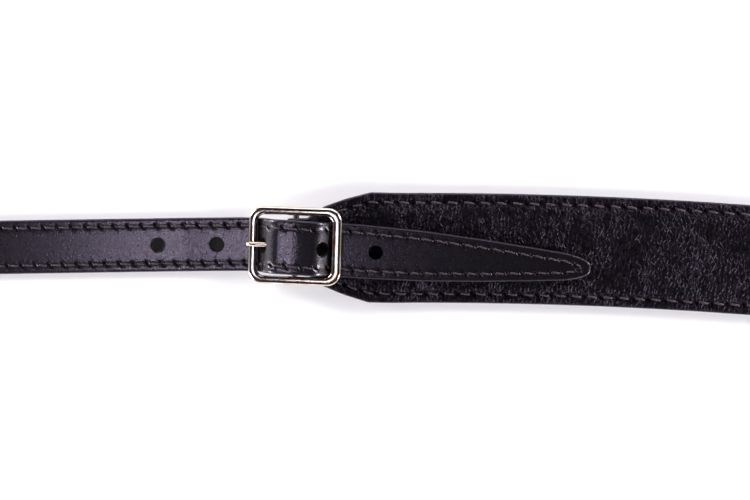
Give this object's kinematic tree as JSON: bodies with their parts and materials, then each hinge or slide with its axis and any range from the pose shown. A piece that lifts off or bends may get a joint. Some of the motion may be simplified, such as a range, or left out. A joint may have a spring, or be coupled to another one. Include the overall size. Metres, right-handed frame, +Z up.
{
  "type": "camera neck strap",
  "caption": "Leather camera neck strap: stitched shoulder pad, two centre-bar buckles with prongs, narrow punched straps and end rings.",
  "frame": {"origin": "on the surface that the strap lies on, under the middle of the shoulder pad", "axes": "+X along the strap, +Z up from the surface through the pad's top leather, +Y across the strap"},
  "size_m": [1.0524, 0.057, 0.0111],
  "materials": {
    "pad_leather": "black grained leather, fine creased grain, soft sheen",
    "backing_leather": "black matt backing leather",
    "strap_leather": "black smooth leather, semi-gloss, with painted edges",
    "nickel": "polished nickel plate"
  },
  "bodies": {
    "root": {"pad_top": "pad_leather", "pad_back": "backing_leather", "strap_left": "strap_leather", "strap_right": "strap_leather", "buckle_frame_left": "nickel", "buckle_frame_right": "nickel", "prong_left": "nickel", "prong_right": "nickel", "ring_left": "nickel", "ring_right": "nickel"}
  },
  "joints": []
}
